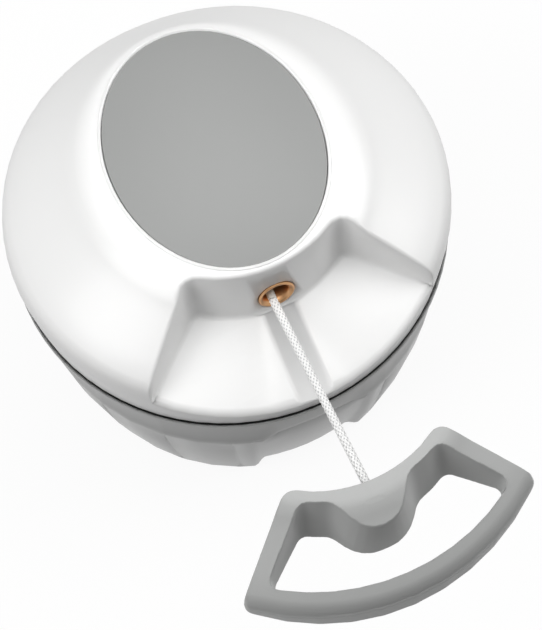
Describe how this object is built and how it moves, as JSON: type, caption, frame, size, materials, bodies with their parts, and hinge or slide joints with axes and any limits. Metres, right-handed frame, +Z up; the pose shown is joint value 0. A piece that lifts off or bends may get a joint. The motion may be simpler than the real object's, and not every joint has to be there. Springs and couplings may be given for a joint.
{
  "type": "pull-cord food chopper",
  "caption": "Hand food chopper: round bowl with a blade unit, domed lid with a cord spool, and a finger-grip handle drawn out on its cord.",
  "frame": {"origin": "on the bowl's axis at the underside of the base pad", "axes": "+Z up along the bowl's axis; the handle is pulled along -Y"},
  "size_m": [0.1298, 0.1927, 0.1073],
  "materials": {
    "white_plastic": "glossy white",
    "cap_plastic": "satin grey",
    "handle_plastic": "satin grey",
    "bowl_plastic": "semi-gloss grey",
    "mechanism_plastic": "moulded off-white",
    "seal_rubber": "matt",
    "pad_rubber": "matt",
    "eyelet_metal": "polished",
    "steel": "ground",
    "braid": "braided with grey flecks"
  },
  "bodies": {
    "bowl": {"bowl": "bowl_plastic", "base_pad": "pad_rubber", "pivot_pin": "steel"},
    "blade_unit": {"blade_hub": "mechanism_plastic", "blade_lower": "steel", "blade_middle": "steel", "blade_upper": "steel"},
    "lid": {"lid_shell": "white_plastic", "cap_disc": "cap_plastic", "cord_eyelet": "eyelet_metal", "lid_base": "mechanism_plastic", "seal_ring": "seal_rubber", "shaft_bushing": "eyelet_metal", "thrust_washer": "steel", "spring_cup": "mechanism_plastic", "recoil_spring": "steel", "axle_pin": "steel", "lid_screw_1": "steel", "lid_screw_2": "steel", "lid_screw_3": "steel", "lid_screw_4": "steel", "cord_lead": "braid", "pull_cord": "braid"},
    "spool_unit": {"cord_spool": "mechanism_plastic", "cord_winding": "braid", "drive_shaft": "mechanism_plastic"},
    "handle": {"pull_handle": "handle_plastic", "cord_knot": "braid"}
  },
  "joints": [
    {"name": "lid_lift", "type": "slide", "parent": "bowl", "child": "lid", "axis": [0, 0, 1], "range_m": [0, 0.12]},
    {"name": "handle_pull", "type": "slide", "parent": "lid", "child": "handle", "axis": [0, -1, 0], "range_m": [-0.0622, 0.23], "deforming": ["pull_cord"]},
    {"name": "spool_spin", "type": "hinge", "parent": "lid", "child": "spool_unit", "pos_m": [0, 0, 0.0924], "axis": [0, 0, 1], "range_deg": [-206, 755]},
    {"name": "blade_spin", "type": "hinge", "parent": "bowl", "child": "blade_unit", "pos_m": [0, 0, 0.012], "axis": [0, 0, 1], "range_deg": [-206, 755]}
  ],
  "couplings": [
    {"joint": "spool_spin", "follows": "handle_pull", "rad_per_m": 56.98},
    {"joint": "blade_spin", "follows": "handle_pull", "rad_per_m": 56.98}
  ]
}
